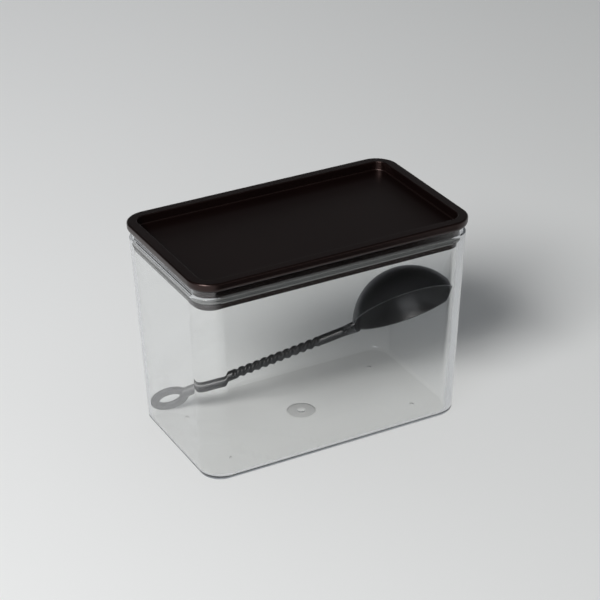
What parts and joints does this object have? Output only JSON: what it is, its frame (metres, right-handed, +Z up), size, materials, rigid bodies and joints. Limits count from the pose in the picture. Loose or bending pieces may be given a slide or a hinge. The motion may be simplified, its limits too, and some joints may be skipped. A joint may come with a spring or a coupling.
{
  "type": "powder storage tub",
  "caption": "Clear rectangular storage tub for powder, with a dark push-in lid, a rubber seal ring and a black scoop that lies inside.",
  "frame": {"origin": "the middle of the tub's flat underside, on the surface that it stands on", "axes": "+X along the long side, +Y from the front wall to the back wall, +Z up through the lid"},
  "size_m": [0.2, 0.119, 0.1465],
  "materials": {
    "clear_plastic": "clear, polished",
    "lid_plastic": "dark brown, satin",
    "retainer_plastic": "dark brown, satin",
    "seal_rubber": "grey, milky",
    "scoop_plastic": "black, satin"
  },
  "bodies": {
    "tub": {"tub_body": "clear_plastic"},
    "lid": {"lid_cover": "lid_plastic", "seal_retainer": "retainer_plastic", "seal_ring": "seal_rubber"},
    "scoop": {"scoop": "scoop_plastic"}
  },
  "joints": [
    {"name": "lid_lift", "type": "slide", "parent": "tub", "child": "lid", "axis": [0, 0, 1], "range_m": [0, 0.165]},
    {"name": "scoop_lift", "type": "slide", "parent": "tub", "child": "scoop", "axis": [0, 0, 1], "range_m": [0, 0.149]}
  ],
  "couplings": [
    {"joint": "scoop_lift", "follows": "lid_lift", "ratio": 0.9}
  ]
}
